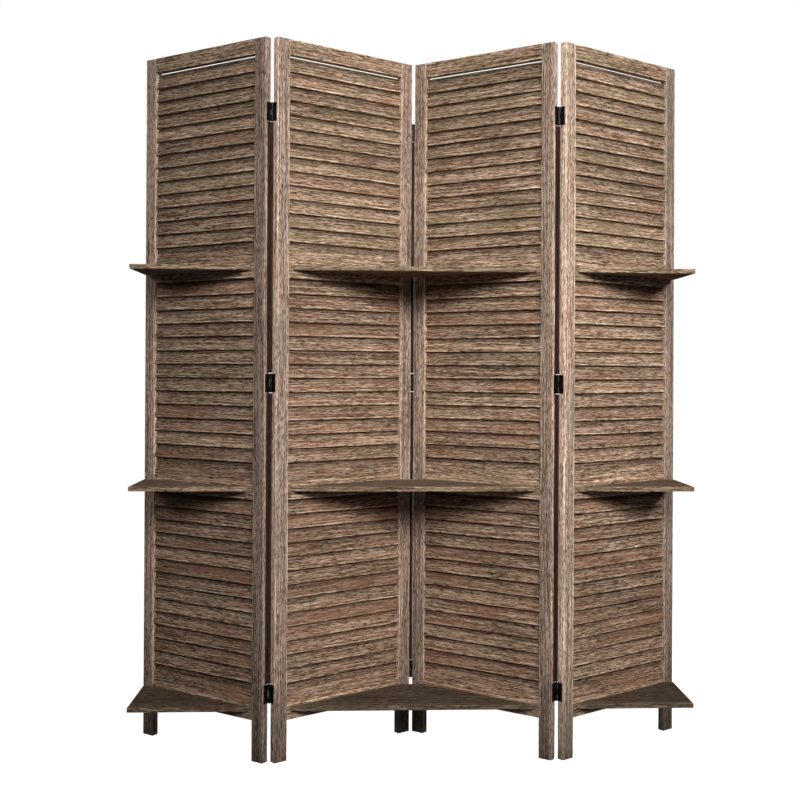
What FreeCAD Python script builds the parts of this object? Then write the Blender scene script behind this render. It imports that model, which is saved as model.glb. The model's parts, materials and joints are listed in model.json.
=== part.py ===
import FreeCAD, Part
import math
import os

from FreeCAD import Placement, Rotation, Vector

# Folding room divider screen: four louvred panels hinged edge to edge, standing in a W plan,
# with three levels of shelf across its front.
# Millimetres. +Z up, the front faces -Y, and X runs along the screen. The origin is on the
# floor, in the middle of the box that the standing screen fills.
#
# A panel is drawn in its own axes: u along it from its left end, v back from its front face,
# and z up from the floor. Panels are numbered from the left.

# Overall sizes
screen_height = 1702.0
panel_width = 400.0
frame_thickness = 18.0
fold_angle = 36.4            # degrees between each panel and X as the screen stands

# Frame members
stile_width = 34.0
rail_height = 36.0
foot_height = 96.0           # clear height under the bottom rail
bay_step = 4.5               # each bay of slats is this much taller than the bay below it
edge_round = 0.8
tenon_length = 18.0
tenon_thickness = 6.0
tenon_shoulder = 5.0         # rail left above and below its tenon
tenon_fit = 0.1              # clearance on each face of a tenon
mortise_end_gap = 0.5

# Louvre slats
slats_per_bay = 14
slat_thickness = 5.5
slat_overlap = 3.5           # height by which a slat hides the top of the slat below
slat_face_inset = 1.2        # from the frame's faces to a slat's outermost lines
slat_slits = {"lower": 0.2, "middle": 0.2, "upper": 3.8}   # under the rail over each bay
closing_slat_gap = 0.2         # between the wide slat over a rail and that rail
closing_slat_reveal = 50.0   # height that shows of the wide slat over each lower rail
slat_seat = 6.0              # length of slat held in each stile
slat_fit = 0.1
slat_round = 1.4

# Butt hinges
low_hinge_height = 160.0     # hinge centres, above the floor
mid_hinge_height = 890.0
top_hinge_drop = 174.0       # hinge centre, below the top
leaf_height = 44.0
leaf_width = 16.5            # from the pivot line to the leaf's free edge
leaf_thickness = 1.2
leaf_corner_round = 1.5
knuckle_radius = 2.4
knuckle_gap = 0.2            # between one knuckle and the next
knuckle_sweep_gap = 0.3      # between a knuckle and the other leaf's plate
pin_radius = 1.3
pin_fit = 0.05               # running clearance in the moving knuckle
pin_head_height = 0.8
pivot_from_end = 2.5         # pivot line beyond the panel's end face
pivot_from_face = 2.5        # pivot line off the panel's face

# Hinge screws
screw_pitch = 26.0           # between the two screws of a leaf
screw_head_radius = 2.8
screw_shank_radius = 1.4
screw_length = 14.0
screw_fit = 0.05
screw_recess_width = 0.7
screw_recess_length = 3.2
screw_recess_depth = 0.7

# Light stops, which close the gaps between the hinges of a joint
stop_sweep_gap = 0.2         # between the bead round the pivot line and a stile's rounded corner
stop_plate_width = 10.0
stop_plate_thickness = 1.2
stop_hinge_gap = 2.0         # between a hinge's end and the stop

# Shelves
shelf_thickness = 11.0
shelf_drop = 6.0             # shelf top below the top of the rail that it butts against
shelf_gap = 0.3              # between a shelf and the panel faces
shelf_tip_inset = 46.0       # along the panel, from its hinged front end to the shelf's tip
shelf_tip_blunt = 3.0
shelf_end_inset = 3.0        # side shelf's free end inside the screen's outer corner
shelf_round = 1.0

# Dowels that plug each shelf into its rail; they run along Y, the way the shelf pulls off
dowel_radius = 3.0
dowel_in_rail = 12.0
dowel_in_shelf = 14.0
dowel_fit = 0.1              # in the rail's hole, which the dowel pulls out of
dowel_glue_gap = 0.02        # in the shelf's hole
dowel_end_gap = 0.5
dowel_inset = 60.0           # along the panel, from a stile or the shelf's tip to the nearest dowel

angle = math.radians(fold_angle)
cos_fold = math.cos(angle)
sin_fold = math.sin(angle)
corner_reach = math.hypot(pivot_from_end + edge_round, pivot_from_face + edge_round) - edge_round
stop_radius = corner_reach - stop_sweep_gap
knuckle_count = 3
knuckle_length = leaf_height / knuckle_count
panel_numbers = (1, 2, 3, 4)
levels = ("lower", "middle", "upper")

# A panel's hinge sits on its rear edge at joints 1 and 3, and on its front edge at joint 2.
# Each entry is the panel on the left, the panel on the right and the side of the knuckle.
joints = {1: (1, 2, "rear"), 2: (2, 3, "front"), 3: (3, 4, "rear")}


def pivot_v(side):
    """Place of a pivot line through the panel's thickness."""
    if side == "rear":
        return frame_thickness + pivot_from_face
    return -pivot_from_face


def panel_rotation(number):
    """Turn of a panel about Z: odd panels come forwards to the right, even ones go back."""
    turn = -fold_angle if number % 2 else fold_angle
    return Rotation(Vector(0, 0, 1), turn)


def place_panel(number, pivot_world, pivot_u, pivot_side):
    """Placement that puts a panel's own pivot line on a given line of the screen."""
    rotation = panel_rotation(number)
    own = rotation.multVec(Vector(pivot_u, pivot_v(pivot_side), 0))
    return Placement(pivot_world - own, rotation)


# The middle pivot line stands where the whole screen's box is centred on the origin.
end_pivot_u = panel_width + pivot_from_end
corner_y = pivot_from_face * cos_fold - pivot_from_end * sin_fold
middle_pivot_y = (panel_width * sin_fold - frame_thickness * cos_fold) / 2 - corner_y
middle_pivot = Vector(0, middle_pivot_y, 0)

placements = {
    2: place_panel(2, middle_pivot, end_pivot_u, "front"),
    3: place_panel(3, middle_pivot, -pivot_from_end, "front"),
}
left_pivot = placements[2].multVec(Vector(-pivot_from_end, pivot_v("rear"), 0))
right_pivot = placements[3].multVec(Vector(end_pivot_u, pivot_v("rear"), 0))
placements[1] = place_panel(1, left_pivot, end_pivot_u, "rear")
placements[4] = place_panel(4, right_pivot, -pivot_from_end, "rear")

# Heights of the rails' lower edges, from the floor
bay_height = (screen_height - foot_height - 4 * rail_height) / 3
bays = {"lower": bay_height - bay_step, "middle": bay_height, "upper": bay_height + bay_step}
rail_z = {"lower": foot_height}
rail_z["middle"] = rail_z["lower"] + rail_height + bays["lower"]
rail_z["upper"] = rail_z["middle"] + rail_height + bays["middle"]
top_rail_z = screen_height - rail_height


def export(name, solids):
    """Write one node: a single solid or a group of separate ones."""
    shape = solids[0] if len(solids) == 1 else Part.makeCompound(solids)
    shape.exportStep("parts/" + name + ".step")


def rounded_box(size, corner, radius, edge_filter=None):
    """Box with its edges rounded, or only the edges that the filter picks."""
    box = Part.makeBox(size.x, size.y, size.z, corner)
    if edge_filter is None:
        edges = box.Edges
    else:
        edges = [edge for edge in box.Edges if edge_filter(edge)]
    limit = 0.45 * min(size.x, size.y, size.z)
    return box.makeFillet(min(radius, limit), edges)


def runs_along_u(edge):
    """True for an edge of a box that runs along the panel."""
    return abs(edge.tangentAt(edge.FirstParameter).x) > 0.99


def to_world(solids, number):
    """Panel solids moved from the panel's axes to the screen's."""
    moved = []
    for solid in solids:
        copy = solid.copy()
        copy.Placement = placements[number].multiply(copy.Placement)
        moved.append(copy)
    return moved


def slat_heights(level):
    """Lower edge and height of every slat of a bay, from the closing slat upwards."""
    floor = rail_z[level] + rail_height
    ceiling = floor + bays[level]
    run = ceiling - slat_slits[level] - slat_overlap - floor - closing_slat_reveal
    pitch = run / (slats_per_bay - 1)
    closing_height = closing_slat_reveal - closing_slat_gap + slat_overlap
    heights = [(floor + closing_slat_gap, closing_height)]
    for index in range(slats_per_bay - 1):
        heights.append((floor + closing_slat_reveal + index * pitch, pitch + slat_overlap))
    return heights


def make_slat(lower_edge, height, grow):
    """One leaning slat with its lower edge forward; grow enlarges its section for its seat."""
    reach = frame_thickness - 2 * slat_face_inset - slat_thickness
    lean = math.atan2(reach, height)
    flat = slat_thickness - 2 * slat_round
    width = (height - 2 * slat_round - flat * math.sin(lean)) / math.cos(lean) + 2 * slat_round
    length = panel_width - 2 * (stile_width - slat_seat)
    section = Vector(length, slat_thickness + 2 * grow, width + 2 * grow)
    corner = Vector(stile_width - slat_seat, -section.y / 2, -section.z / 2)
    slat = rounded_box(section, corner, slat_round + grow, runs_along_u)
    slat.rotate(Vector(0, 0, 0), Vector(1, 0, 0), -math.degrees(lean))
    slat.translate(Vector(0, frame_thickness / 2, lower_edge + height / 2))
    return slat


def make_tenon(end, rail_bottom, grow):
    """Tenon at one end of a rail, or its mortise when grown; end is -1 left or 1 right."""
    inner = panel_width - stile_width if end > 0 else stile_width
    length = tenon_length + (mortise_end_gap if grow else 0)
    start = inner if end > 0 else inner - length
    thickness = tenon_thickness + 2 * grow
    height = rail_height - 2 * tenon_shoulder + 2 * grow
    corner = Vector(start, (frame_thickness - thickness) / 2, rail_bottom + tenon_shoulder - grow)
    return Part.makeBox(length, thickness, height, corner)


def make_rail(rail_bottom):
    """One rail between the stiles, with a tenon at each end."""
    size = Vector(panel_width - 2 * stile_width, frame_thickness, rail_height)
    corner = Vector(stile_width, 0, rail_bottom)
    body = rounded_box(size, corner, edge_round, runs_along_u)
    return body.fuse([make_tenon(-1, rail_bottom, 0), make_tenon(1, rail_bottom, 0)]).removeSplitter()


hinge_heights = (low_hinge_height, mid_hinge_height, screen_height - top_hinge_drop)


def end_axes(end, side):
    """A hinged end of a panel: its outward direction along u, and the leaf's way from the pivot."""
    outward = Vector(1 if end > 0 else -1, 0, 0)
    inward_v = Vector(0, -1 if side == "rear" else 1, 0)
    face = Vector(panel_width if end > 0 else 0, pivot_v(side), 0)
    return outward, inward_v, face


def box_between(first, second):
    """Box with two opposite corners given."""
    low = Vector(min(first.x, second.x), min(first.y, second.y), min(first.z, second.z))
    high = Vector(max(first.x, second.x), max(first.y, second.y), max(first.z, second.z))
    size = high - low
    return Part.makeBox(size.x, size.y, size.z, low)


def screw_places(end, side, height):
    """Centres of a leaf's screws on the panel's end face."""
    outward, inward, face = end_axes(end, side)
    middle = face + inward * ((leaf_width + knuckle_radius) / 2)
    return [middle + Vector(0, 0, height + sign * screw_pitch / 2) for sign in (-1, 1)]


def make_screw(place, outward, grow):
    """Countersunk screw driven in from a leaf's outer face, or its hole when grown."""
    top = place + outward * leaf_thickness
    inwards = outward * -1
    head_depth = screw_head_radius - screw_shank_radius
    head_radius = screw_head_radius + grow
    shank_radius = screw_shank_radius + grow
    head = Part.makeCone(head_radius, shank_radius, head_depth, top, inwards)
    shank = Part.makeCylinder(shank_radius, screw_length + grow, top, inwards)
    screw = head.fuse(shank)
    if not grow:
        for across in (Vector(0, 1, 0), Vector(0, 0, 1)):
            other = outward.cross(across)
            half = across * (screw_recess_length / 2) + other * (screw_recess_width / 2)
            screw = screw.cut(box_between(top + half, top - half + inwards * screw_recess_depth))
    return screw.removeSplitter()


def knuckle_span(index, height):
    """Lower and upper end of a knuckle, counted from the hinge's foot."""
    foot = height - leaf_height / 2
    return foot + index * knuckle_length, foot + (index + 1) * knuckle_length


def make_leaf(end, side, height, own_knuckles, bore_radius):
    """One hinge leaf: a plate on the panel's end face with knuckles rolled at the pivot line."""
    outward, inward, face = end_axes(end, side)
    pivot = face + outward * pivot_from_end
    foot = Vector(0, 0, height - leaf_height / 2)
    far = face + inward * leaf_width + outward * leaf_thickness + Vector(0, 0, leaf_height)
    leaf = box_between(face + foot, far + foot)
    free_edges = []
    for edge in leaf.Edges:
        along_u = abs(edge.tangentAt(edge.FirstParameter).x) > 0.99
        reach = abs(edge.CenterOfMass.y - face.y)
        if along_u and reach > leaf_width / 2:
            free_edges.append(edge)
    leaf = leaf.makeFillet(leaf_corner_round, free_edges)
    up = Vector(0, 0, 1)
    for index in range(knuckle_count):
        low, high = knuckle_span(index, height)
        base = Vector(pivot.x, pivot.y, low)
        if index in own_knuckles:
            low_gap = knuckle_gap / 2 if index > 0 else 0
            high_gap = knuckle_gap / 2 if index < knuckle_count - 1 else 0
            start = base + up * low_gap
            length = high - low - low_gap - high_gap
            leaf = leaf.fuse(Part.makeCylinder(knuckle_radius, length, start, up))
    for index in range(knuckle_count):
        low, high = knuckle_span(index, height)
        base = Vector(pivot.x, pivot.y, low)
        if index not in own_knuckles:
            sweep = Part.makeCylinder(knuckle_radius + knuckle_sweep_gap, high - low, base, up)
            leaf = leaf.cut(sweep)
    bore_foot = Vector(pivot.x, pivot.y, height - leaf_height)
    leaf = leaf.cut(Part.makeCylinder(bore_radius, 2 * leaf_height, bore_foot, up))
    for place in screw_places(end, side, height):
        leaf = leaf.cut(make_screw(place, outward, screw_fit))
    return leaf.removeSplitter()


def make_pin(end, side, height):
    """Hinge pin with a low head at each end."""
    outward, inward, face = end_axes(end, side)
    pivot = face + outward * pivot_from_end
    foot = Vector(pivot.x, pivot.y, height - leaf_height / 2)
    up = Vector(0, 0, 1)
    pin = Part.makeCylinder(pin_radius, leaf_height, foot, up)
    head_radius = (pin_radius + knuckle_radius) / 2
    for start in (foot - up * pin_head_height, foot + up * leaf_height):
        pin = pin.fuse(Part.makeCylinder(head_radius, pin_head_height, start, up))
    return pin.removeSplitter()


def hinged_ends(number):
    """The hinged ends of a panel, as (end, side)."""
    ends = []
    for left_panel, right_panel, side in joints.values():
        if number == left_panel:
            ends.append((1, side))
        if number == right_panel:
            ends.append((-1, side))
    return ends


def make_stile(number, end, slat_seats):
    """One stile with its mortises, slat seats and screw holes."""
    corner = Vector(panel_width - stile_width if end > 0 else 0, 0, 0)
    size = Vector(stile_width, frame_thickness, screen_height)
    stile = rounded_box(size, corner, edge_round)
    cutters = list(slat_seats)
    for bottom in list(rail_z.values()) + [top_rail_z]:
        cutters.append(make_tenon(end, bottom, tenon_fit))
    for hinged_end, side in hinged_ends(number):
        if hinged_end == end:
            outward = end_axes(end, side)[0]
            for height in hinge_heights:
                for place in screw_places(end, side, height):
                    cutters.append(make_screw(place, outward, screw_fit))
    return stile.cut(cutters)


def far_u(number, distance):
    """Distance from a panel's rearmost end, as a place along the panel."""
    return distance if number % 2 else panel_width - distance


def front_point(number, distance):
    """Point just in front of a panel's face, at a distance from its rearmost end."""
    return placements[number].multVec(Vector(far_u(number, distance), -shelf_gap, 0))


dowel_distances = (stile_width + dowel_inset, panel_width - shelf_tip_inset - dowel_inset)


def make_dowels(number, level, radius_gap, end_gap):
    """Dowels between a panel's rail and its shelf at one level, or their holes when grown."""
    height = rail_z[level] + rail_height - shelf_drop - shelf_thickness / 2
    dowels = []
    for distance in dowel_distances:
        mouth = front_point(number, distance)
        start = Vector(mouth.x, mouth.y - dowel_in_shelf - end_gap, height)
        length = dowel_in_shelf + dowel_in_rail + 2 * end_gap
        dowels.append(Part.makeCylinder(dowel_radius + radius_gap, length, start, Vector(0, 1, 0)))
    return dowels


def half_outline(number):
    """Shelf outline against one panel: back end, tip on the face and blunt tip in front."""
    back = front_point(number, stile_width)
    tip = front_point(number, panel_width - shelf_tip_inset)
    blunt = Vector(tip.x, tip.y - shelf_tip_blunt, 0)
    return [back, tip, blunt]


def shelf_outline(place):
    """Corners of a shelf in plan: a trapezium in the middle, half of one at each side."""
    if place == "centre":
        return half_outline(3) + list(reversed(half_outline(2)))
    number = 1 if place == "left" else 4
    back, tip, blunt = half_outline(number)
    outer_corner = placements[number].multVec(Vector(far_u(number, 0), 0, 0))
    inset = shelf_end_inset if place == "left" else -shelf_end_inset
    end_x = outer_corner.x + inset
    return [back, tip, blunt, Vector(end_x, blunt.y, 0), Vector(end_x, back.y, 0)]


shelf_panels = {"left": (1,), "centre": (2, 3), "right": (4,)}


def make_shelf(place, level):
    """One shelf board with rounded edges and its dowel holes."""
    outline = shelf_outline(place)
    lift = Vector(0, 0, rail_z[level] + rail_height - shelf_drop - shelf_thickness)
    corners = [corner + lift for corner in outline]
    face = Part.Face(Part.makePolygon(corners + [corners[0]]))
    board = face.extrude(Vector(0, 0, shelf_thickness))
    board = board.makeFillet(shelf_round, board.Edges)
    for number in shelf_panels[place]:
        board = board.cut(make_dowels(number, level, dowel_glue_gap, dowel_end_gap))
    return board


def make_panel(number):
    """All the wooden pieces of one panel, written as nodes."""
    prefix = "panel_%d_" % number
    seats = []
    for level in levels:
        slats = [make_slat(low, height, 0) for low, height in slat_heights(level)]
        seats += [make_slat(low, height, slat_fit) for low, height in slat_heights(level)]
        export(prefix + level + "_slats", to_world(slats, number))
    export(prefix + "left_stile", to_world([make_stile(number, -1, seats)], number))
    export(prefix + "right_stile", to_world([make_stile(number, 1, seats)], number))
    export(prefix + "top_rail", to_world([make_rail(top_rail_z)], number))
    shelf_rails = {}
    for level in levels:
        rail = to_world([make_rail(rail_z[level])], number)[0]
        shelf_rails[level] = rail.cut(make_dowels(number, level, dowel_fit, dowel_end_gap))
    export(prefix + "bottom_rail", [shelf_rails["lower"]])
    export(prefix + "mid_rails", [shelf_rails["middle"], shelf_rails["upper"]])


def make_light_stop(side, bottom, top):
    """One stop: a plate on the left panel's end face with a bead round the pivot line."""
    outward, inward, face = end_axes(1, side)
    pivot = face + outward * pivot_from_end
    foot = Vector(0, 0, bottom)
    height = Vector(0, 0, top - bottom)
    far = face + inward * (stop_plate_width + pivot_from_face) + outward * stop_plate_thickness
    plate = box_between(face + foot, far + foot + height)
    bead = Part.makeCylinder(stop_radius, top - bottom, pivot + foot, Vector(0, 0, 1))
    return plate.fuse(bead).removeSplitter()


def make_joint(joint):
    """Hinges and light stops between two panels, written as nodes."""
    left_panel, right_panel, side = joints[joint]
    outer = (0, knuckle_count - 1)
    inner = tuple(range(1, knuckle_count - 1))
    left_leaves = [make_leaf(1, side, height, outer, pin_radius) for height in hinge_heights]
    right_leaves = [make_leaf(-1, side, height, inner, pin_radius + pin_fit) for height in hinge_heights]
    pins = [make_pin(1, side, height) for height in hinge_heights]
    reach = leaf_height / 2 + stop_hinge_gap
    stops = []
    for below, above in zip(hinge_heights, hinge_heights[1:]):
        stops.append(make_light_stop(side, below + reach, above - reach))
    prefix = "joint_%d_" % joint
    export(prefix + "left_leaves", to_world(left_leaves, left_panel))
    export(prefix + "right_leaves", to_world(right_leaves, right_panel))
    export(prefix + "pins", to_world(pins, left_panel))
    export(prefix + "light_stops", to_world(stops, left_panel))


def make_hinge_screws(number):
    """Screws that hold a panel's leaves, written as one node."""
    screws = []
    for end, side in hinged_ends(number):
        outward = end_axes(end, side)[0]
        for height in hinge_heights:
            screws += [make_screw(place, outward, 0) for place in screw_places(end, side, height)]
    export("panel_%d_hinge_screws" % number, to_world(screws, number))


def make_shelves(place):
    """Shelves at one place along the screen and their dowels, written as nodes."""
    dowels = []
    for level in levels:
        export("%s_%s_shelf" % (place, level), [make_shelf(place, level)])
        for number in shelf_panels[place]:
            dowels += make_dowels(number, level, 0, 0)
    export(place + "_shelf_dowels", dowels)


os.makedirs("parts", exist_ok=True)
for panel in panel_numbers:
    make_panel(panel)
    make_hinge_screws(panel)
for joint_number in joints:
    make_joint(joint_number)
for shelf_place in shelf_panels:
    make_shelves(shelf_place)
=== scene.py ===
"""Looks for a folding louvred room divider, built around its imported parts.

Every board is a piece of its own timber: its vertices carry their place in the board, so
the grain runs along it and round its edges as in solid wood, and the stain differs from
one board to the next.
"""

import json
import logging
import math
import random
from dataclasses import dataclass, field, replace
from enum import Enum

import bmesh
import bpy
from mathutils import Euler, Matrix, Vector, noise


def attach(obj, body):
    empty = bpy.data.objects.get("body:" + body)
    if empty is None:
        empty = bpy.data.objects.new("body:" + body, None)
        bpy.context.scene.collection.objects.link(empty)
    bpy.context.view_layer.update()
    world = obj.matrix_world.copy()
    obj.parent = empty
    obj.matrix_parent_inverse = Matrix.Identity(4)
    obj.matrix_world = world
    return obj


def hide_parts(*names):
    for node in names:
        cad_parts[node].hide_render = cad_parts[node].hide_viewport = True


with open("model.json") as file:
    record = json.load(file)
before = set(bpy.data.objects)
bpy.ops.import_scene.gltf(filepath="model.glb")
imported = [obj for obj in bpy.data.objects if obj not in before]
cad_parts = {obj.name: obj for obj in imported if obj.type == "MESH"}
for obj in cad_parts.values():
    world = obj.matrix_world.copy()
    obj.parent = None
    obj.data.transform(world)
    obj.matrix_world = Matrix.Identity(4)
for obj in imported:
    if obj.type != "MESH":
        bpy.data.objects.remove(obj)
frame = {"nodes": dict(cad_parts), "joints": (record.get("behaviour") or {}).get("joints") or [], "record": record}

logging.basicConfig(level=logging.INFO, format="%(message)s")
log = logging.getLogger("screen")

MM = 0.001
GRAIN_LAYER = "grain"      # place in the board: along, across and through, in metres
STAIN_LAYER = "stain"      # tone with its painted light and shade, warmth, and place across the board from -1 to 1
PAINTED_SHADE_LAYER = "painted_shade"      # 1 on boards whose upper part lies under the next board and gets painted shade
BEVEL_ANGLE = math.radians(60)     # edges of a new board sharper than this are rounded
SHADE_ANGLE = math.radians(35)     # edges sharper than this stay crisp when shaded
GRAIN_REACH = 9.0          # boards take their grain from places up to this far apart, in metres
WEAR_REACH = 50.0          # and their wear from places this far apart in the noise
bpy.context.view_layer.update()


def linear(colour: str) -> tuple[float, float, float, float]:
    """Turn an sRGB hex colour into linear RGBA.

    Args:
        colour: Six hex digits after a hash sign.

    Returns:
        Red, green, blue and an alpha of 1.
    """
    shares = [int(colour[place:place + 2], 16) / 255 for place in (1, 3, 5)]
    bright = [s / 12.92 if s <= 0.04045 else ((s + 0.055) / 1.055) ** 2.4 for s in shares]
    return (*bright, 1.0)


def add_node(
    tree: bpy.types.NodeTree,
    kind: str,
    inputs: dict[str | int, object] | None = None,
    **settings: object,
) -> bpy.types.Node:
    """Add one node with its settings and links.

    Args:
        tree: The node tree that gets the node.
        kind: The node's type, without its ShaderNode prefix.
        inputs: Values or output sockets for the node's inputs, by name or number.
        **settings: Properties of the node itself.

    Returns:
        The new node.
    """
    node = tree.nodes.new("ShaderNode" + kind)
    for name, value in settings.items():
        setattr(node, name, value)
    for key, value in (inputs or {}).items():
        socket = node.inputs[key]
        if isinstance(value, bpy.types.NodeSocket):
            tree.links.new(value, socket)
        else:
            socket.default_value = value
    return node


class Grain(Enum):
    """Which way the grain of a copied board runs, as the order of its own axes."""

    ALONG_PANEL = (0, 2, 1)
    LYING_FLAT = (0, 1, 2)
    UPRIGHT = (2, 0, 1)


@dataclass(frozen=True)
class Timber:
    """Brushed and stained softwood, such as paulownia: soft wood worn back between hard
    rings, which leaves light raised lines and dark furrows with a dry, matt surface."""

    name: str
    furrow: str = "#20140d"
    body: str = "#735a46"
    ridge: str = "#ccb197"
    red: str = "#7d5540"
    grey: str = "#8c7c5a"
    ring: float = 2.3 * MM          # coarser than real rings, so that they show in the render
    ring_length: float = 250.0 * MM
    ring_band: tuple[float, float] = (0.38, 0.62)
    fibre: float = 1.5 * MM
    fibre_length: float = 22.0 * MM
    fibre_band: tuple[float, float] = (0.36, 0.64)
    fibre_share: float = 0.5
    fleck: float = 2.0 * MM
    fleck_length: float = 14.0 * MM
    fleck_band: tuple[float, float] = (0.52, 0.64)
    fleck_share: float = 0.3
    swirl: float = 60.0 * MM        # size of the waves that bend the rings
    swirl_stretch: float = 0.22     # scale of the waves along the grain, as a share of across
    swirl_reach: float = 9.0 * MM
    blotch: float = 90.0 * MM
    blotch_band: tuple[float, float] = (0.3, 0.7)
    height_band: tuple[float, float] = (0.20, 0.86)
    warmth_sway: tuple[float, float] = (-0.36, 0.30)    # what the blotches do to the warmth
    tone_sway: tuple[float, float] = (0.86, 1.14)       # and to the tone
    body_place: float = 0.52        # height whose colour is the body colour
    edge_wear_and_highlight_start: float = 0.68        # place across the board where a lighter edge begins: rubbed wear and a painted highlight
    edge_wear_and_highlight_gain: float = 1.7          # how much lighter an edge is, as rubbed wear and as a painted highlight
    painted_shade_start: float = 0.05       # place across the board where the painted shade of the next board begins
    painted_shade_end: float = 0.75
    painted_shade_depth: float = 0.34       # how dark the painted shade under the next board gets, 1 as in the open
    roughness: float = 0.72
    furrow_roughness: float = 0.86
    relief: float = 0.6 * MM

    def build(self) -> bpy.types.Material:
        """Make the material.

        Returns:
            A node material that reads the grain and stain of each board.
        """
        material = bpy.data.materials.new(self.name)
        material.use_nodes = True
        tree = material.node_tree
        tree.nodes.clear()
        grain = add_node(tree, "Attribute", attribute_name=GRAIN_LAYER).outputs["Vector"]
        stain = add_node(tree, "Attribute", attribute_name=STAIN_LAYER).outputs["Vector"]
        # 1 on boards that get painted shade under the next board
        painted_shade = add_node(tree, "Attribute", attribute_name=PAINTED_SHADE_LAYER).outputs["Fac"]
        tone, warmth, across = add_node(tree, "SeparateXYZ", {0: stain}).outputs
        bent = self._bend(tree, grain)
        rings = self._streaks(tree, bent, self.ring_length, self.ring, 3.0, self.ring_band)
        fibres = self._streaks(tree, bent, self.fibre_length, self.fibre, 2.0, self.fibre_band)
        flecks = self._streaks(tree, bent, self.fleck_length, self.fleck, 3.0, self.fleck_band)
        blotches = self._streaks(tree, grain, 1.6 * self.blotch, 0.5 * self.blotch, 2.0,
                                 self.blotch_band)
        clear = add_node(tree, "Math", {0: 1.0, 1: flecks}, operation="SUBTRACT").outputs[0]
        height = add_node(tree, "Mix", {0: self.fibre_share, 2: rings, 3: fibres}).outputs[0]
        height = add_node(tree, "Mix", {0: self.fleck_share, 2: height, 3: clear}).outputs[0]
        low, high = self.height_band
        height = add_node(tree, "MapRange", {0: height, 1: low, 2: high}).outputs[0]
        colour = self._colour(tree, height, blotches, tone, warmth)
        # edges lighter, as rubbed wear and a painted highlight, and painted shade under the next board
        colour = self._edge_wear_and_painted_light(tree, colour, across, painted_shade)
        rough = add_node(tree, "MapRange", {
            0: height,
            3: self.furrow_roughness,
            4: self.roughness,
        })
        bump = add_node(tree, "Bump", {"Strength": 0.8, "Distance": self.relief, "Height": height})
        shader = add_node(tree, "BsdfPrincipled", {
            "Base Color": colour,
            "Roughness": rough.outputs[0],
            "Normal": bump.outputs[0],
            "IOR": 1.5,
            "Specular IOR Level": 0.28,
        })
        add_node(tree, "OutputMaterial", {"Surface": shader.outputs[0]})
        return material

    def _bend(self, tree: bpy.types.NodeTree, grain: bpy.types.NodeSocket) -> bpy.types.NodeSocket:
        """Push the grain sideways in long waves, which draws cathedral figures.

        Args:
            tree: The material's node tree.
            grain: Place in the board.

        Returns:
            The place, moved across the grain.
        """
        scale = (self.swirl_stretch / self.swirl, 1 / self.swirl, 1 / self.swirl)
        wide = add_node(tree, "VectorMath", {0: grain, 1: scale}, operation="MULTIPLY")
        waves = add_node(tree, "TexNoise", {"Vector": wide.outputs[0], "Scale": 1.0, "Detail": 2.0})
        centred = add_node(tree, "VectorMath", {0: waves.outputs["Color"], 1: (0.5, 0.5, 0.5)},
                           operation="SUBTRACT")
        reach = 2 * self.swirl_reach
        push = add_node(tree, "VectorMath", {0: centred.outputs[0], 1: (0.0, reach, reach)},
                        operation="MULTIPLY")
        moved = add_node(tree, "VectorMath", {0: grain, 1: push.outputs[0]}, operation="ADD")
        return moved.outputs[0]

    def _streaks(
        self,
        tree: bpy.types.NodeTree,
        place: bpy.types.NodeSocket,
        length: float,
        width: float,
        detail: float,
        band: tuple[float, float],
    ) -> bpy.types.NodeSocket:
        """Noise drawn out along the grain.

        Args:
            tree: The material's node tree.
            place: Place in the board.
            length: Size of the streaks along the grain, in metres.
            width: Size of the streaks across the grain, in metres.
            detail: Octaves of the noise.
            band: Noise values that become 0 and 1.

        Returns:
            A value from 0 to 1.
        """
        scaled = add_node(tree, "VectorMath", {0: place, 1: (1 / length, 1 / width, 1 / width)},
                          operation="MULTIPLY")
        pattern = add_node(tree, "TexNoise", {
            "Vector": scaled.outputs[0],
            "Scale": 1.0,
            "Detail": detail,
        })
        banded = add_node(tree, "MapRange", {0: pattern.outputs[0], 1: band[0], 2: band[1]})
        return banded.outputs[0]

    def _colour(
        self,
        tree: bpy.types.NodeTree,
        height: bpy.types.NodeSocket,
        blotches: bpy.types.NodeSocket,
        tone: bpy.types.NodeSocket,
        warmth: bpy.types.NodeSocket,
    ) -> bpy.types.NodeSocket:
        """Stain colour from the relief, the blotches and the board's own tone.

        Args:
            tree: The material's node tree.
            height: Relief from 0 in a furrow to 1 on a ridge.
            blotches: Slow change along the board, from 0 to 1.
            tone: The board's brightness, 1 as stained, with its painted light and shade.
            warmth: The board's lean towards red, or towards grey below 0.

        Returns:
            The base colour.
        """
        ramp = add_node(tree, "ValToRGB", {0: height})
        stops = ramp.color_ramp.elements
        stops[0].color, stops[0].position = linear(self.furrow), 0.04
        stops[1].color, stops[1].position = linear(self.ridge), 1.0
        stops.new(self.body_place).color = linear(self.body)
        colder, warmer = self.warmth_sway
        sway = add_node(tree, "MapRange", {0: blotches, 3: colder, 4: warmer}).outputs[0]
        lean = add_node(tree, "Math", {0: warmth, 1: sway}, operation="ADD").outputs[0]
        redness = add_node(tree, "Math", {0: lean, 1: 0.0}, operation="MAXIMUM").outputs[0]
        greyness = add_node(tree, "Math", {0: lean, 1: -1.0}, operation="MULTIPLY",
                            use_clamp=True).outputs[0]
        red = add_node(tree, "Mix", {0: redness, 6: ramp.outputs[0], 7: linear(self.red)},
                       data_type="RGBA").outputs[2]
        grey = add_node(tree, "Mix", {0: greyness, 6: red, 7: linear(self.grey)},
                        data_type="RGBA").outputs[2]
        darker, lighter = self.tone_sway
        shade = add_node(tree, "MapRange", {0: blotches, 3: darker, 4: lighter}).outputs[0]
        level = add_node(tree, "Math", {0: shade, 1: tone}, operation="MULTIPLY").outputs[0]
        return add_node(tree, "VectorMath", {0: grey, "Scale": level}, operation="SCALE").outputs[0]

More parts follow.
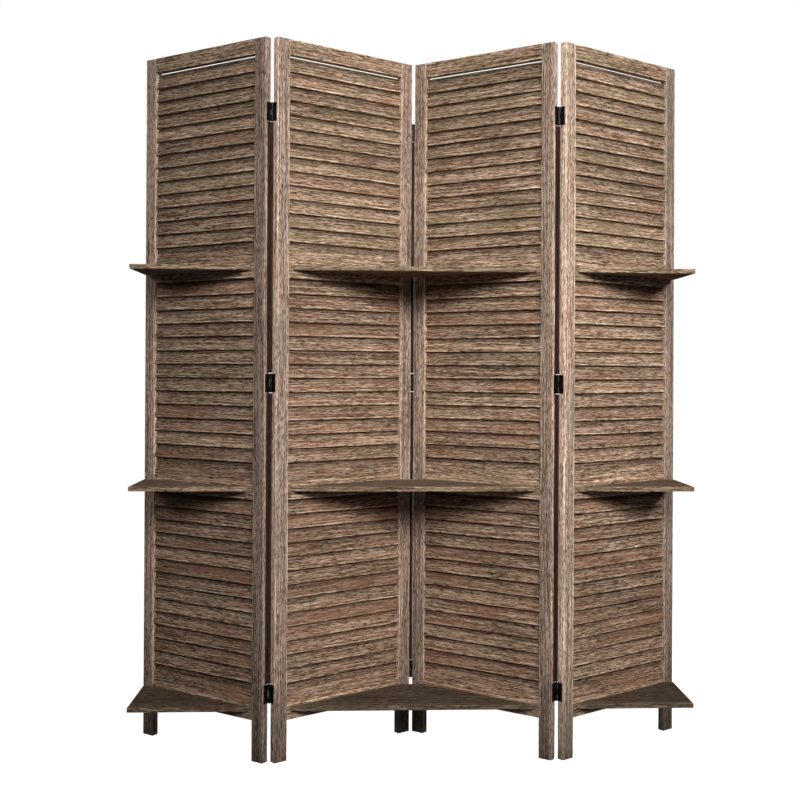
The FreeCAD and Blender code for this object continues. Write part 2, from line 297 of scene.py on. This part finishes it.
    def _edge_wear_and_painted_light(
        self,
        tree: bpy.types.NodeTree,
        colour: bpy.types.NodeSocket,
        across: bpy.types.NodeSocket,
        painted_shade: bpy.types.NodeSocket,
    ) -> bpy.types.NodeSocket:
        """Lighten edges, as wear and painted highlight, and paint shade under the next board.

        Args:
            tree: The material's node tree.
            colour: The stain colour.
            across: Place across the board, from -1 to 1.
            painted_shade: 1 on boards whose upper part lies under the next board and gets painted shade.

        Returns:
            The base colour.
        """
        # edges lighter, partly rubbed wear and partly a painted highlight
        edge = add_node(tree, "Math", {0: across}, operation="ABSOLUTE").outputs[0]
        rubbed = add_node(tree, "MapRange", {
            0: edge,
            1: self.edge_wear_and_highlight_start,
            2: 1.0,
            3: 1.0,
            4: self.edge_wear_and_highlight_gain,
        }).outputs[0]
        # painted shade on the part under the next board, darker towards its upper edge
        painted_shade_ramp = add_node(tree, "MapRange", {
            0: across,
            1: self.painted_shade_start,
            2: self.painted_shade_end,
            3: 1.0,
            4: self.painted_shade_depth,
        }).outputs[0]
        # painted shade only on boards that lie under the next board
        dark = add_node(tree, "Mix", {0: painted_shade, 2: 1.0, 3: painted_shade_ramp}).outputs[0]
        level = add_node(tree, "Math", {0: rubbed, 1: dark}, operation="MULTIPLY").outputs[0]
        return add_node(tree, "VectorMath", {0: colour, "Scale": level}, operation="SCALE").outputs[0]


@dataclass(frozen=True)
class LacqueredSteel:
    """Pressed steel with a thin black lacquer: nearly black, with a soft sheen and a faint
    orange peel, and brown steel where it has rubbed."""

    name: str
    lacquer: str = "#17130f"
    rubbed: str = "#3d332b"
    peel: float = 1.2 * MM
    rub: float = 9.0 * MM
    roughness: float = 0.38

    def build(self) -> bpy.types.Material:
        """Make the material.

        Returns:
            A node material on Object coordinates.
        """
        material = bpy.data.materials.new(self.name)
        material.use_nodes = True
        tree = material.node_tree
        tree.nodes.clear()
        place = add_node(tree, "TexCoord").outputs["Object"]
        rubs = add_node(tree, "TexNoise", {"Vector": place, "Scale": 1 / self.rub, "Detail": 4.0})
        amount = add_node(tree, "MapRange", {0: rubs.outputs[0], 1: 0.52, 2: 0.72}).outputs[0]
        colour = add_node(tree, "Mix", {0: amount, 6: linear(self.lacquer), 7: linear(self.rubbed)},
                          data_type="RGBA").outputs[2]
        rough = add_node(tree, "MapRange", {0: amount, 3: self.roughness, 4: self.roughness + 0.2})
        peel = add_node(tree, "TexNoise", {"Vector": place, "Scale": 1 / self.peel, "Detail": 1.0})
        bump = add_node(tree, "Bump", {
            "Strength": 0.25,
            "Distance": 0.05 * MM,
            "Height": peel.outputs[0],
        })
        shader = add_node(tree, "BsdfPrincipled", {
            "Base Color": colour,
            "Metallic": 0.55,
            "Roughness": rough.outputs[0],
            "Normal": bump.outputs[0],
        })
        add_node(tree, "OutputMaterial", {"Surface": shader.outputs[0]})
        return material


@dataclass(frozen=True)
class Stain:
    """How one kind of board took the stain, how much its boards differ, and its painted shade."""

    tone: float = 1.0
    tone_spread: float = 0.12
    warmth: float = 0.0
    warmth_spread: float = 0.3
    painted_shade_under_next: bool = False           # one side lies under the next board and gets painted shade there
    foot: float = 1.0               # tone at the lower end of an upright board: painted shade, darker towards the floor
    painted_foot_shade_reach: float = 260.0 * MM

    def painted_foot_shade_at(self, height: float) -> float:
        """Share of the board's tone at a height above its lower end: painted shade near the foot."""
        return self.foot + (1.0 - self.foot) * min(1.0, height / self.painted_foot_shade_reach)

    def draw(self, rng: random.Random) -> tuple[float, float]:
        """Pick the tone and warmth of one board."""
        tone = self.tone + rng.uniform(-self.tone_spread, self.tone_spread)
        return tone, self.warmth + rng.uniform(-self.warmth_spread, self.warmth_spread)


@dataclass
class BoardWork:
    """Boards of one piece, gathered in one mesh with their grain and stain."""

    name: str
    seed: int
    arris: float = 1.2 * MM         # rounding along a board's edges
    wear: float = 0.35 * MM         # how far an edge is rubbed back in places
    wear_length: float = 40.0 * MM
    least_wear: float = 0.35        # added to the noise, so that most of an edge is worn
    wear_depth: float = 0.6         # share of the wear taken off each side of an edge
    mesh: bmesh.types.BMesh = field(default_factory=bmesh.new)

    def __post_init__(self) -> None:
        """Start the seeded draws and the two layers."""
        self.rng = random.Random(self.seed)
        self.grain = self.mesh.verts.layers.float_vector.new(GRAIN_LAYER)
        self.stain = self.mesh.verts.layers.float_vector.new(STAIN_LAYER)
        self.painted_shade = self.mesh.verts.layers.float.new(PAINTED_SHADE_LAYER)
        self.done = self.mesh.verts.layers.int.new("done")

    def board(self, size: Vector, place: Matrix, stain: Stain, cuts: int) -> None:
        """Add one sawn board with rubbed edges.

        Args:
            size: Length along the grain, width and thickness.
            place: Turns and moves the board from its own axes to the screen's.
            stain: How the board took the stain.
            cuts: Cuts along the board, which let its edges wander.
        """
        made = bmesh.ops.create_cube(self.mesh, size=1.0, matrix=Matrix.Diagonal((*size, 1.0)))
        along = [edge for edge in edges_of(made["verts"])
                 if abs((edge.verts[0].co - edge.verts[1].co).x) > size.x / 2]
        bmesh.ops.subdivide_edges(self.mesh, edges=along, cuts=cuts, use_grid_fill=True)
        fresh = [vert for vert in self.mesh.verts if not vert[self.done]]
        sharp = [edge for edge in edges_of(fresh) if edge.calc_face_angle(0.0) > BEVEL_ANGLE]
        bevelled = bmesh.ops.bevel(self.mesh, geom=sharp, offset=self.arris, offset_type="OFFSET",
                                   affect="EDGES", segments=2, profile=0.5, material=-1)
        for face in bevelled["faces"]:
            face.smooth = True
        fresh = [vert for vert in self.mesh.verts if not vert[self.done]]
        self._rub(fresh, size)
        self._mark(fresh, size, stain)
        bmesh.ops.transform(self.mesh, matrix=place, verts=fresh)

    def _rub(self, verts: list[bmesh.types.BMVert], size: Vector) -> None:
        """Rub the board's edges back unevenly, and never outwards.

        Args:
            verts: Vertices of the board, in its own axes.
            size: Length along the grain, width and thickness.
        """
        start = Vector([self.rng.uniform(0.0, WEAR_REACH) for _ in range(3)])
        for vert in verts:
            amount = noise.noise(start + vert.co / self.wear_length)
            back = self.wear * max(0.0, amount + self.least_wear)
            for axis in (1, 2):
                room = size[axis] / 2 - abs(vert.co[axis])
                if room < self.arris:
                    moved = back * (1 - room / self.arris) * self.wear_depth
                    vert.co[axis] -= math.copysign(moved, vert.co[axis])

    def _mark(self, verts: list[bmesh.types.BMVert], size: Vector, stain: Stain) -> None:
        """Write the place in the board and the stain on each vertex.

        Args:
            verts: Vertices of the board, in its own axes.
            size: Length along the grain, width and thickness.
            stain: How the board took the stain.
        """
        shift = Vector([self.rng.uniform(0.0, GRAIN_REACH) for _ in range(3)])
        tone, warmth = stain.draw(self.rng)
        for vert in verts:
            vert[self.grain] = vert.co + shift
            # painted shade: an upright board darker towards its foot
            local = tone * stain.painted_foot_shade_at(vert.co.x + size.x / 2)
            vert[self.stain] = Vector((local, warmth, 2 * vert.co.y / size.y))
            # 1 where this board gets painted shade under the next board
            vert[self.painted_shade] = float(stain.painted_shade_under_next)
            vert[self.done] = 1

    def copy(self, node: str, turn: float, grain: Grain, stain: Stain) -> None:
        """Add the boards of a CAD node as they are, with grain and stain of their own.

        Args:
            node: Name of the CAD node.
            turn: Turn of the node's panel about Z, in radians.
            grain: Which way the grain runs.
            stain: How the boards took the stain.
        """
        source = bmesh.new()
        source.from_mesh(frame["nodes"][node].data)
        bmesh.ops.remove_doubles(source, verts=source.verts, dist=0.001 * MM)
        source.faces.index_update()
        for loose in islands(source):
            own = [Matrix.Rotation(-turn, 3, "Z") @ vert.co for vert in loose]
            self._copy_one(loose, own, grain, stain)
        source.free()

    def _copy_one(
        self,
        loose: list[bmesh.types.BMVert],
        own: list[Vector],
        grain: Grain,
        stain: Stain,
    ) -> None:
        """Add one board of a CAD node.

        Args:
            loose: The board's vertices.
            own: Their places in the panel's own axes.
            grain: Which way the grain runs.
            stain: How the board took the stain.
        """
        along, across, through = grain.value
        low = min(place[across] for place in own)
        high = max(place[across] for place in own)
        shift = Vector([self.rng.uniform(0.0, GRAIN_REACH) for _ in range(3)])
        tone, warmth = stain.draw(self.rng)
        twins = {}
        for vert, place in zip(loose, own):
            twin = self.mesh.verts.new(vert.co)
            twin[self.grain] = Vector((place[along], place[across], place[through])) + shift
            side = 2 * (place[across] - low) / (high - low) - 1
            twin[self.stain] = Vector((tone, warmth, side))
            twin[self.done] = 1
            twins[vert] = twin
        faces = {face for vert in loose for face in vert.link_faces}
        for face in sorted(faces, key=lambda face: face.index):
            self.mesh.faces.new([twins[vert] for vert in face.verts]).smooth = True

    def finish(
        self,
        material: bpy.types.Material,
        body: str,
        slot: str,
        *nodes: str,
    ) -> bpy.types.Object:
        """Turn the boards into one object of the screen.

        Args:
            material: Finish of the boards.
            body: CAD body that the piece rides on.
            slot: The record's material slot of the piece; not used.
            *nodes: CAD nodes that the piece stands for.

        Returns:
            The new object.
        """
        self.mesh.verts.layers.int.remove(self.done)
        data = bpy.data.meshes.new(self.name)
        self.mesh.to_mesh(data)
        self.mesh.free()
        data.set_sharp_from_angle(angle=SHADE_ANGLE)
        data.materials.append(material)
        piece = bpy.data.objects.new(self.name, data)
        bpy.context.scene.collection.objects.link(piece)
        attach(piece, body)
        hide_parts(*nodes)
        log.info("%s: %d faces on %s", self.name, len(data.polygons), body)
        return piece


def edges_of(verts: list[bmesh.types.BMVert]) -> list[bmesh.types.BMEdge]:
    """List the edges at some vertices, each once and in the order of the vertices."""
    return list(dict.fromkeys(edge for vert in verts for edge in vert.link_edges))


def islands(mesh: bmesh.types.BMesh) -> list[list[bmesh.types.BMVert]]:
    """Split a mesh into its separate boards, from the lowest up and then from the left.

    Args:
        mesh: A mesh with its doubles merged.

    Returns:
        The vertices of each board.
    """
    left = set(mesh.verts)
    found = []
    while left:
        reach = [left.pop()]
        board = []
        while reach:
            vert = reach.pop()
            board.append(vert)
            for edge in vert.link_edges:
                other = edge.other_vert(vert)
                if other in left:
                    left.remove(other)
                    reach.append(other)
        found.append(sorted(board, key=lambda vert: tuple(vert.co)))
    return sorted(found, key=lambda board: (min(vert.co.z for vert in board), *board[0].co))


def own_box(node: str, turn: float) -> tuple[Vector, Vector]:
    """Box of a CAD node along its panel's own axes.

    Args:
        node: Name of the CAD node.
        turn: Turn of the panel about Z, in radians.

    Returns:
        Lowest and highest corner, still counted from the screen's origin.
    """
    back = Matrix.Rotation(-turn, 3, "Z")
    places = [back @ vert.co for vert in frame["nodes"][node].data.vertices]
    low = Vector([min(place[axis] for place in places) for axis in range(3)])
    high = Vector([max(place[axis] for place in places) for axis in range(3)])
    return low, high


def body_with(node: str) -> str:
    """Find the CAD body that a node belongs to.

    Args:
        node: Name of the CAD node.

    Returns:
        The body's name.
    """
    bodies = frame["record"]["behaviour"]["bodies"]
    return next(name for name, nodes in bodies.items() if node in nodes)


@dataclass(frozen=True)
class PanelLightAndShade:
    """Painted light and shade of one panel's boards, for how the lamps fall on each panel and stile, 1 as stained.
    """

    slats: float = 1.0
    left_stile: float = 1.0
    right_stile: float = 1.0


@dataclass
class LouvredPanel:
    """One panel: two stiles, four rails and three bays of leaning slats."""

    number: int
    fold: float
    painted_light_tones: PanelLightAndShade
    slats_per_bay: int = 14
    slat_thickness: float = 5.5 * MM
    slat_overlap: float = 3.5 * MM
    slat_face_inset: float = 1.2 * MM
    closing_slat_gap: float = 0.2 * MM
    closing_slat_reveal: float = 50.0 * MM
    slat_round: float = 1.4 * MM
    stile_arris: float = 0.8 * MM
    stile_wear: float = 0.06 * MM
    # painted shade: the stiles darker towards their feet
    stile_stain: Stain = Stain(tone=1.36, tone_spread=0.06, warmth_spread=0.08, foot=0.5)
    rail_stain: Stain = Stain(tone=1.15, tone_spread=0.08, warmth_spread=0.12)
    # slats get painted shade on their upper part, under the next slat
    slat_stain: Stain = Stain(tone=1.15, tone_spread=0.19, warmth_spread=0.18, painted_shade_under_next=True)
    low_warmth: float = 0.14        # added to each bay of slats below the one above

    def __post_init__(self) -> None:
        """Work out the turn of the panel and the body it belongs to."""
        self.turn = -self.fold if self.number % 2 else self.fold
        self.prefix = f"panel_{self.number}_"
        self.body = body_with(self.prefix + "left_stile")

    def build(
        self,
        timber: bpy.types.Material,
        stile_timber: bpy.types.Material,
        steel: bpy.types.Material,
    ) -> None:
        """Build the panel's wood and dress its screws.

        Args:
            timber: Finish of the rails and slats.
            stile_timber: Finish of the stiles.
            steel: Finish of the screws.
        """
        for side in ("left", "right"):
            self.build_stile(side, stile_timber)
        for rail in ("bottom_rail", "mid_rails", "top_rail"):
            self.build_rail(rail, timber)
        for level in ("lower", "middle", "upper"):
            self.build_slats(level, timber)
        dress(self.prefix + "hinge_screws", steel)

    def stained(self, stain: Stain, tone: float) -> Stain:
        """Give one kind of board the painted light and shade of this panel."""
        return replace(stain, tone=stain.tone * tone)

    def build_stile(self, side: str, timber: bpy.types.Material) -> None:
        """Build one upright board with its grain upright.

        Args:
            side: Either left or right.
            timber: Finish of the stile.
        """
        node = f"{self.prefix}{side}_stile"
        low, high = own_box(node, self.turn)
        width, thickness, height = high - low
        work = BoardWork(f"stile_{self.number}_{side}", seed=self.number * 10 + len(side),
                         arris=self.stile_arris, wear=self.stile_wear)
        # painted light and shade of this stile
        tone = self.painted_light_tones.left_stile if side == "left" else self.painted_light_tones.right_stile
        stain = self.stained(self.stile_stain, tone)
        size = Vector((height, width, thickness))
        work.board(size, self._upright_place(low, high), stain, cuts=40)
        work.finish(timber, self.body, "stile_wood", node)

    def _upright_place(self, low: Vector, high: Vector) -> Matrix:
        """Place of a board whose length stands up and whose width runs along the panel."""
        axes = Matrix(((0, 1, 0), (0, 0, 1), (1, 0, 0))).to_4x4()
        return Matrix.Rotation(self.turn, 4, "Z") @ Matrix.Translation((low + high) / 2) @ axes

    def build_rail(self, rail: str, timber: bpy.types.Material) -> None:
        """Copy a rail, or both middle rails, with their tenons and dowel holes.

        Args:
            rail: The node's name without its panel.
            timber: Finish of the rail.
        """
        node = self.prefix + rail
        work = BoardWork(f"{rail}_{self.number}", seed=self.number * 100 + len(rail))
        stain = self.stained(self.rail_stain, self.painted_light_tones.slats)
        work.copy(node, self.turn, Grain.ALONG_PANEL, stain)
        work.finish(timber, self.body, "rail_wood", node)

    def build_slats(self, level: str, timber: bpy.types.Material) -> None:
        """Build a bay of slats that lean with their lower edges forwards.

        Args:
            level: Either lower, middle or upper.
            timber: Finish of the slats.
        """
        node = f"{self.prefix}{level}_slats"
        low, high = own_box(node, self.turn)
        depth = high.y - low.y
        work = BoardWork(f"slats_{self.number}_{level}", seed=self.number * 1000 + len(level),
                         arris=self.slat_round)
        run = high.z - low.z - self.slat_overlap - self.closing_slat_reveal + self.closing_slat_gap
        pitch = run / (self.slats_per_bay - 1)
        foot = low.z
        stain = self.stained(self.slat_stain, self.painted_light_tones.slats)
        below = ("upper", "middle", "lower").index(level)
        stain = replace(stain, warmth=stain.warmth + below * self.low_warmth)
        flat = self.slat_thickness - 2 * self.slat_round
        reveal = self.closing_slat_reveal - self.closing_slat_gap
        for _ in range(self.slats_per_bay):
            height = reveal + self.slat_overlap
            lean = math.atan2(depth - self.slat_thickness, height)
            width = (height - 2 * self.slat_round - flat * math.sin(lean)) / math.cos(lean)
            width += 2 * self.slat_round
            middle = Vector(((low.x + high.x) / 2, (low.y + high.y) / 2, foot + height / 2))
            size = Vector((high.x - low.x, width, self.slat_thickness))
            work.board(size, self._slat_place(middle, lean), stain, cuts=3)
            foot += reveal
            reveal = pitch
        work.finish(timber, self.body, "slat_wood", node)

    def _slat_place(self, middle: Vector, lean: float) -> Matrix:
        """Place of a slat whose length runs along the panel and whose width leans back upwards."""
        stand = Matrix.Rotation(math.pi / 2 - lean, 4, "X")
        return Matrix.Rotation(self.turn, 4, "Z") @ Matrix.Translation(middle) @ stand


@dataclass
class ShelfSet:
    """The three shelves at one place along the screen, with their dowels."""

    place: str
    stain: Stain = Stain(tone=0.62, tone_spread=0.04, warmth=-0.04, warmth_spread=0.1)
    painted_low_shade: float = 0.62          # painted shade: tone of the lowest shelf against the others, darker nearer the floor
    dowel_stain: Stain = Stain(tone=1.1, tone_spread=0.05, warmth=0.1, warmth_spread=0.1)

    def build(self, timber: bpy.types.Material, beech: bpy.types.Material) -> None:
        """Build the shelves with their grain along the screen, and the dowels.

        Args:
            timber: Finish of the shelves.
            beech: Finish of the dowels.
        """
        dowels = self.place + "_shelf_dowels"
        body = body_with(dowels)
        for number, level in enumerate(("lower", "middle", "upper")):
            node = f"{self.place}_{level}_shelf"
            work = BoardWork("board_" + node, seed=len(self.place) * 37 + number)
            # painted shade: the lowest shelf darker than the others
            tone = self.stain.tone * (self.painted_low_shade if level == "lower" else 1.0)
            work.copy(node, 0.0, Grain.LYING_FLAT, replace(self.stain, tone=tone))
            work.finish(timber, body, "shelf_wood", node)
        work = BoardWork("turned_" + dowels, seed=len(self.place) * 41)
        work.copy(dowels, math.pi / 2, Grain.ALONG_PANEL, self.dowel_stain)
        work.finish(beech, body, "dowel_wood", dowels)


def dress(node: str, material: bpy.types.Material) -> None:
    """Give a CAD node a finish, in place of its plain one.

    Args:
        node: Name of the CAD node.
        material: The finish.
    """
    piece = frame["nodes"][node]
    piece.data.materials.clear()
    piece.data.materials.append(material)
    log.info("%s: dressed in %s", node, material.name)


@dataclass
class Joints:
    """The hinges of each joint, which stay as they were pressed, and the strips between them, near black as
    painted shade in the gaps.
    """

    joints: int = 3
    stain: Stain = Stain(tone=1.0, tone_spread=0.05, warmth=0.1, warmth_spread=0.1)

    def build(
        self,
        steel: bpy.types.Material,
        pin_steel: bpy.types.Material,
        joint_shade_timber: bpy.types.Material,
    ) -> None:
        """Dress the leaves and the pins, and copy the strips with their grain upright.

        Args:
            steel: Finish of the leaves.
            pin_steel: Finish of the pins.
            joint_shade_timber: Near-black finish of the strips that close the gaps, painted shade for the gaps.
        """
        for joint in range(1, self.joints + 1):
            stops = f"joint_{joint}_light_stops"
            work = BoardWork(f"strips_{joint}", seed=joint * 53)
            work.copy(stops, 0.0, Grain.UPRIGHT, self.stain)
            work.finish(joint_shade_timber, body_with(stops), "stop_wood", stops)
            dress(f"joint_{joint}_left_leaves", steel)
            dress(f"joint_{joint}_right_leaves", steel)
            dress(f"joint_{joint}_pins", pin_steel)


@dataclass
class Studio:
    """Pale floor, soft lights and the camera."""

    floor_radius: float = 14.0
    floor_colour: str = "#f4f2ef"
    floor_glow: float = 1.0
    surround: float = 1.0
    lamp_target: Vector = field(default_factory=lambda: Vector((0.2, 0.0, 1.12)))
    sky: float = 0.06
    lens: float = 52.34
    camera_place: Vector = field(default_factory=lambda: Vector((-0.0942, -2.8609, 0.9234)))
    camera_yaw: float = 2.684
    camera_rise: float = 0.173
    camera_roll: float = 0.290
    shift: tuple[float, float] = (-0.0373, -0.0424)

    def build(self) -> None:
        """Make the whole studio."""
        bpy.context.scene.view_settings.view_transform = "Standard"
        self.build_floor()
        self.build_light()
        self.build_sky()
        self.build_camera()

    def build_floor(self) -> None:
        """Lay a round, pale, painted floor."""
        mesh = bmesh.new()
        bmesh.ops.create_circle(mesh, cap_ends=True, segments=96, radius=self.floor_radius)
        data = bpy.data.meshes.new("floor")
        mesh.to_mesh(data)
        mesh.free()
        paint = bpy.data.materials.new("Matt white studio paint")
        paint.use_nodes = True
        tree = paint.node_tree
        tree.nodes.clear()
        place = add_node(tree, "TexCoord").outputs["Object"]
        mottle = add_node(tree, "TexNoise", {"Vector": place, "Scale": 1.3, "Detail": 3.0})
        bump = add_node(tree, "Bump", {
            "Strength": 0.05,
            "Distance": 0.2 * MM,
            "Height": mottle.outputs[0],
        })
        shader = add_node(tree, "BsdfPrincipled", {
            "Base Color": linear(self.floor_colour),
            "Roughness": 0.9,
            "Specular IOR Level": 0.1,
            "Emission Color": linear("#ffffff"),
            "Emission Strength": self.floor_glow,
            "Normal": bump.outputs[0],
        })
        add_node(tree, "OutputMaterial", {"Surface": shader.outputs[0]})
        data.materials.append(paint)
        floor = bpy.data.objects.new("floor", data)
        floor.visible_diffuse = False
        floor.visible_glossy = False
        bpy.context.scene.collection.objects.link(floor)

    def build_light(self) -> None:
        """Hang a soft key light at the right, one nearer the middle, and a weak fill at the left."""
        self.hang_lamp("key", Vector((2.1, -2.9, 2.5)), 0.9, 18.0, 90.0)
        self.hang_lamp("front", Vector((0.4, -3.6, 2.4)), 1.2, 14.0, 80.0)
        self.hang_lamp("fill", Vector((-2.4, -2.4, 2.4)), 1.2, 6.0, 90.0)

    def hang_lamp(
        self,
        name: str,
        place: Vector,
        size: float,
        power: float,
        spread: float,
    ) -> None:
        """Hang one round soft light, aimed above the middle of the screen.

        Args:
            name: Name of the lamp.
            place: Where it hangs.
            size: Its diameter, in metres.
            power: Its power, in watts.
            spread: Angle that its honeycomb lets through, in degrees.
        """
        lamp = bpy.data.lights.new(name, "AREA")
        lamp.shape = "DISK"
        lamp.size = size
        lamp.energy = power
        lamp.spread = math.radians(spread)
        hung = bpy.data.objects.new(name, lamp)
        aim = (self.lamp_target - place).to_track_quat("-Z", "Y")
        hung.matrix_world = Matrix.Translation(place) @ aim.to_matrix().to_4x4()
        bpy.context.scene.collection.objects.link(hung)

    def build_sky(self) -> None:
        """Light the room evenly and weakly, with a white surround behind the screen."""
        world = bpy.data.worlds.new("white surround")
        bpy.context.scene.world = world
        world.use_nodes = True
        tree = world.node_tree
        tree.nodes.clear()
        path = add_node(tree, "LightPath")
        glow = add_node(tree, "Background", {"Color": linear("#ffffff"), "Strength": self.sky})
        white = add_node(tree, "Background", {
            "Color": linear("#ffffff"),
            "Strength": self.surround,
        })
        mixed = add_node(tree, "MixShader", {
            0: path.outputs["Is Camera Ray"],
            1: glow.outputs[0],
            2: white.outputs[0],
        })
        add_node(tree, "OutputWorld", {"Surface": mixed.outputs[0]})

    def build_camera(self) -> None:
        """Stand the camera in front, a little to the left, at chest height."""
        data = bpy.data.cameras.new("camera")
        data.lens = self.lens
        data.sensor_width = 36.0
        data.shift_x, data.shift_y = self.shift
        camera = bpy.data.objects.new("camera", data)
        rise, yaw = math.radians(90 + self.camera_rise), math.radians(-self.camera_yaw)
        turn = Euler((rise, 0.0, yaw), "XYZ").to_matrix().to_4x4()
        roll = Matrix.Rotation(math.radians(self.camera_roll), 4, "Z")
        camera.matrix_world = Matrix.Translation(self.camera_place) @ turn @ roll
        bpy.context.scene.collection.objects.link(camera)
        bpy.context.scene.camera = camera


def fold_angle() -> float:
    """Angle between each panel and X, from how far the middle hinge still has to close."""
    hinge = next(joint for joint in frame["joints"] if joint["name"] == "middle_hinge")
    return math.radians((180 - abs(hinge["range_deg"][0])) / 2)


def main() -> None:
    """Build the screen's looks and the studio."""
    timber = Timber("Brushed and stained paulownia").build()
    stile_timber = Timber(
        "Brushed and stained quarter sawn paulownia",
        furrow="#3a2a20",
        body="#806859",
        ridge="#cfb8a5",
        red="#85614f",
        grey="#8f8370",
        ring=1.8 * MM,
        fibre_length=14.0 * MM,
        swirl_reach=4.0 * MM,
    ).build()
    beech = Timber(
        "Turned beech",
        furrow="#a07c55",
        body="#c29a6c",
        ridge="#d8b68a",
        relief=0.1 * MM,
    ).build()
    # near-black strips in the joints: painted shade for the gaps between the panels
    joint_shade_timber = Timber(
        "Dark stained paulownia strip",
        furrow="#0c0705",
        body="#2b1a13",
        ridge="#4a3024",
        red="#3a1f16",
        grey="#2d2820",
    ).build()
    steel = LacqueredSteel("Black lacquered pressed steel").build()
    pin_steel = LacqueredSteel(
        "Black lacquered drawn steel",
        lacquer="#211c19",
        roughness=0.3,
    ).build()
    fold = fold_angle()
    # painted light and shade of each panel's slats and stiles, for how the lamps fall on them
    panels = (
        PanelLightAndShade(slats=0.84, left_stile=0.80, right_stile=0.55),
        PanelLightAndShade(slats=1.12, left_stile=1.0, right_stile=0.90),
        PanelLightAndShade(slats=1.02, left_stile=0.84, right_stile=0.82),
        PanelLightAndShade(slats=1.16, left_stile=1.22, right_stile=0.80),
    )
    for number, painted_light_tones in enumerate(panels, start=1):
        LouvredPanel(number, fold, painted_light_tones).build(timber, stile_timber, steel)
    for place in ("left", "centre", "right"):
        ShelfSet(place).build(timber, beech)
    Joints().build(steel, pin_steel, joint_shade_timber)
    Studio().build()


if __name__ == "__main__":
    main()
